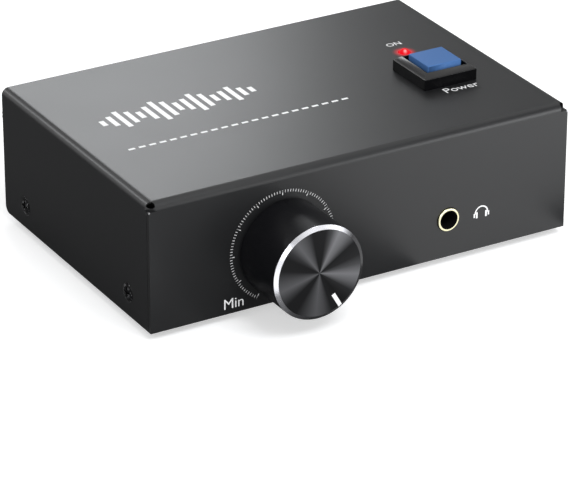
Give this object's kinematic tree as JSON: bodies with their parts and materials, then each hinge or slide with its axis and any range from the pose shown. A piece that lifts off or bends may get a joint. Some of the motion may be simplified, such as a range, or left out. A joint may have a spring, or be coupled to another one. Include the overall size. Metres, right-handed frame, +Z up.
{
  "type": "phono preamp",
  "caption": "Small black sheet-metal phono preamp with a round volume knob, headphone jack, square push button and light on top, and phono jacks behind.",
  "frame": {"origin": "on the surface the feet rest on, under the middle of the whole object from the knob's face to the ground nut's end", "axes": "+X right as seen from the front, +Y to the back, +Z up"},
  "size_m": [0.1206, 0.1094, 0.0417],
  "materials": {
    "black_sheet": "satin black powder paint, fine texture",
    "tray_sheet": "satin black powder paint",
    "black_screws": "black oxide steel",
    "rubber": "matt black rubber",
    "board": "green solder mask",
    "brass_parts": "plain brass",
    "bright_steel": "nickel plated steel",
    "black_plastic": "moulded black plastic",
    "pot_rotor": "phenolic disc",
    "knob_metal": "black anodised, radial spun face, bright cut edge",
    "white_inlay": "white fill",
    "gold": "gold plated",
    "blue_cap": "smooth blue plastic",
    "red_lens": "clear red, lit",
    "plated_shells": "nickel plated",
    "white_plastic": "white plastic",
    "red_plastic": "red plastic",
    "ground_metal": "gold coloured plating",
    "can_sleeves": "printed sleeve with bare top",
    "resistor_paint": "pale blue lacquer with bands",
    "wire_cover": "coloured wire insulation"
  },
  "bodies": {
    "chassis": {"cover": "black_sheet", "base_tray": "tray_sheet", "cover_screws": "black_screws", "rear_panel_screws": "black_screws", "rubber_feet": "rubber", "circuit_board": "board", "board_standoffs": "brass_parts", "volume_pot_bushing": "brass_parts", "board_screws": "bright_steel", "volume_pot_washer": "bright_steel", "volume_pot_nut": "bright_steel", "volume_pot_pins": "bright_steel", "power_button_spring": "bright_steel", "switch_lugs": "bright_steel", "light_leads": "bright_steel", "dc_inlet_pin": "bright_steel", "dc_inlet_spring": "bright_steel", "headphone_jack_springs": "bright_steel", "chip_legs": "bright_steel", "ground_lock_nut": "bright_steel", "volume_pot_body": "black_plastic", "headphone_jack_body": "black_plastic", "power_button_bezel": "black_plastic", "power_button_nut": "black_plastic", "switch_contact_block": "black_plastic", "light_holder": "black_plastic", "rca_housings": "black_plastic", "dc_inlet_body": "black_plastic", "op_amps": "black_plastic", "voltage_regulator": "black_plastic", "diodes": "black_plastic", "headphone_jack_nose": "gold", "rca_contacts": "gold", "power_light": "red_lens", "rca_shells": "plated_shells", "rca_insulators_left": "white_plastic", "wire_header": "white_plastic", "header_plug": "white_plastic", "rca_insulators_right": "red_plastic", "film_capacitors": "red_plastic", "ground_stud": "ground_metal", "small_capacitors": "can_sleeves", "large_capacitors": "can_sleeves", "resistors": "resistor_paint", "switch_wires": "wire_cover", "light_wires": "wire_cover"},
    "volume_knob": {"volume_knob_shell": "knob_metal", "volume_knob_pointer": "white_inlay", "volume_knob_insert": "black_plastic", "volume_pot_shaft": "bright_steel", "volume_pot_wiper": "pot_rotor"},
    "power_button": {"power_button_cap": "blue_cap", "power_button_plunger": "black_plastic"},
    "ground_washer": {"ground_washer": "ground_metal"},
    "ground_thumb_nut": {"ground_thumb_nut": "ground_metal"}
  },
  "joints": [
    {"name": "volume_turn", "type": "hinge", "parent": "chassis", "child": "volume_knob", "pos_m": [-0.0232, -0.0368, 0.0171], "axis": [0, -1, 0], "range_deg": [0, 300]},
    {"name": "power_press", "type": "slide", "parent": "chassis", "child": "power_button", "axis": [0, 0, -1], "range_m": [0, 0.0016], "stiffness_N_per_m": 800, "springref_m": -0.0015, "deforming": ["power_button_spring"]},
    {"name": "ground_travel", "type": "slide", "parent": "chassis", "child": "ground_washer", "axis": [0, 1, 0], "range_m": [0, 0.0028]},
    {"name": "ground_turn", "type": "hinge", "parent": "ground_washer", "child": "ground_thumb_nut", "pos_m": [-0.0502, 0.0423, 0.0236], "axis": [0, 1, 0], "range_deg": [0, 1440]}
  ],
  "couplings": [
    {"joint": "ground_turn", "follows": "ground_travel", "rad_per_m": 8976}
  ]
}
